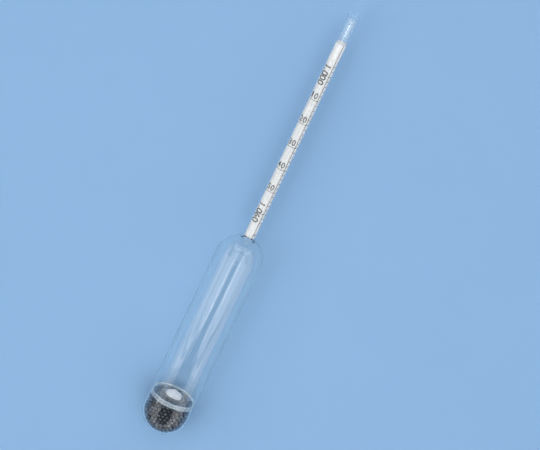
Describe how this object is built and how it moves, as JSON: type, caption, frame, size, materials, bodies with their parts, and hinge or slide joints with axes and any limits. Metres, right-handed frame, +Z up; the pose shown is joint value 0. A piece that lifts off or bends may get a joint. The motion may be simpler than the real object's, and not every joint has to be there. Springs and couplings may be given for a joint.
{
  "type": "float hydrometer",
  "caption": "Small glass float hydrometer: round-bottomed body weighted with steel shot under a clear disc, and a thin stem holding a rolled paper specific-gravity scale.",
  "frame": {"origin": "on the bench plane, under the middle of the float's bounding box, with the float lying on its side", "axes": "+X along the float's axis from the ballast end to the stem tip, +Z up, +Y to the left when looking along +X"},
  "size_m": [0.16, 0.0158, 0.0158],
  "materials": {
    "glass": "clear, flame polished",
    "scale_paper": "matt white printing paper with dark print",
    "shot_steel": "dark, smooth, slightly oily shot",
    "retainer_clear": "clear, glossy",
    "seal_milky": "milky, waxy, slightly lumpy",
    "cement_clear": "clear, glossy, uneven bead"
  },
  "bodies": {
    "root": {"body_tube": "glass", "stem_tube": "glass", "scale_paper": "scale_paper", "ballast_shot": "shot_steel", "ballast_retainer": "retainer_clear", "retainer_seal": "seal_milky", "retainer_bond": "cement_clear"}
  },
  "joints": []
}
